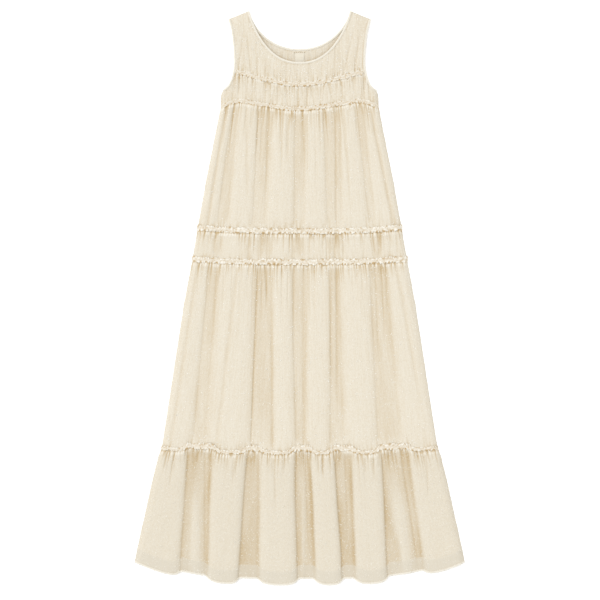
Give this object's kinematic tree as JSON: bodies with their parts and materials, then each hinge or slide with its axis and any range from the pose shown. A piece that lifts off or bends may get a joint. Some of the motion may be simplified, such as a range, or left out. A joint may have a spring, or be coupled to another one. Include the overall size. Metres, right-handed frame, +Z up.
{
  "type": "maxi dress",
  "caption": "Sleeveless tiered maxi dress in gathered crinkled cotton, laid flat, with a round neck, a plain yoke, narrow frills at the cross seams and a full flounce.",
  "frame": {"origin": "middle of the dress's outline, on the surface that it lies on", "axes": "+Y from the hem to the neck, +X to the right as seen from above, +Z up from the surface"},
  "size_m": [0.8062, 1.4004, 0.0265],
  "materials": {
    "cream_cotton": "matt crinkled cotton voile, cream",
    "pale_binding": "smooth bias-cut cotton, pale cream",
    "blank_label": "blank satin tape"
  },
  "bodies": {
    "root": {"front_yoke": "cream_cotton", "front_chest_band": "cream_cotton", "front_upper_tier": "cream_cotton", "front_waist_band": "cream_cotton", "front_middle_tier": "cream_cotton", "front_flounce": "cream_cotton", "front_yoke_frill": "cream_cotton", "front_chest_frill": "cream_cotton", "front_waist_top_frill": "cream_cotton", "front_waist_bottom_frill": "cream_cotton", "front_flounce_frill": "cream_cotton", "front_neck_binding": "pale_binding", "front_left_armhole_binding": "pale_binding", "front_right_armhole_binding": "pale_binding", "back_yoke": "cream_cotton", "back_chest_band": "cream_cotton", "back_upper_tier": "cream_cotton", "back_waist_band": "cream_cotton", "back_middle_tier": "cream_cotton", "back_flounce": "cream_cotton", "back_yoke_frill": "cream_cotton", "back_chest_frill": "cream_cotton", "back_waist_top_frill": "cream_cotton", "back_waist_bottom_frill": "cream_cotton", "back_flounce_frill": "cream_cotton", "back_neck_binding": "pale_binding", "back_left_armhole_binding": "pale_binding", "back_right_armhole_binding": "pale_binding", "neck_label": "blank_label"}
  },
  "joints": []
}
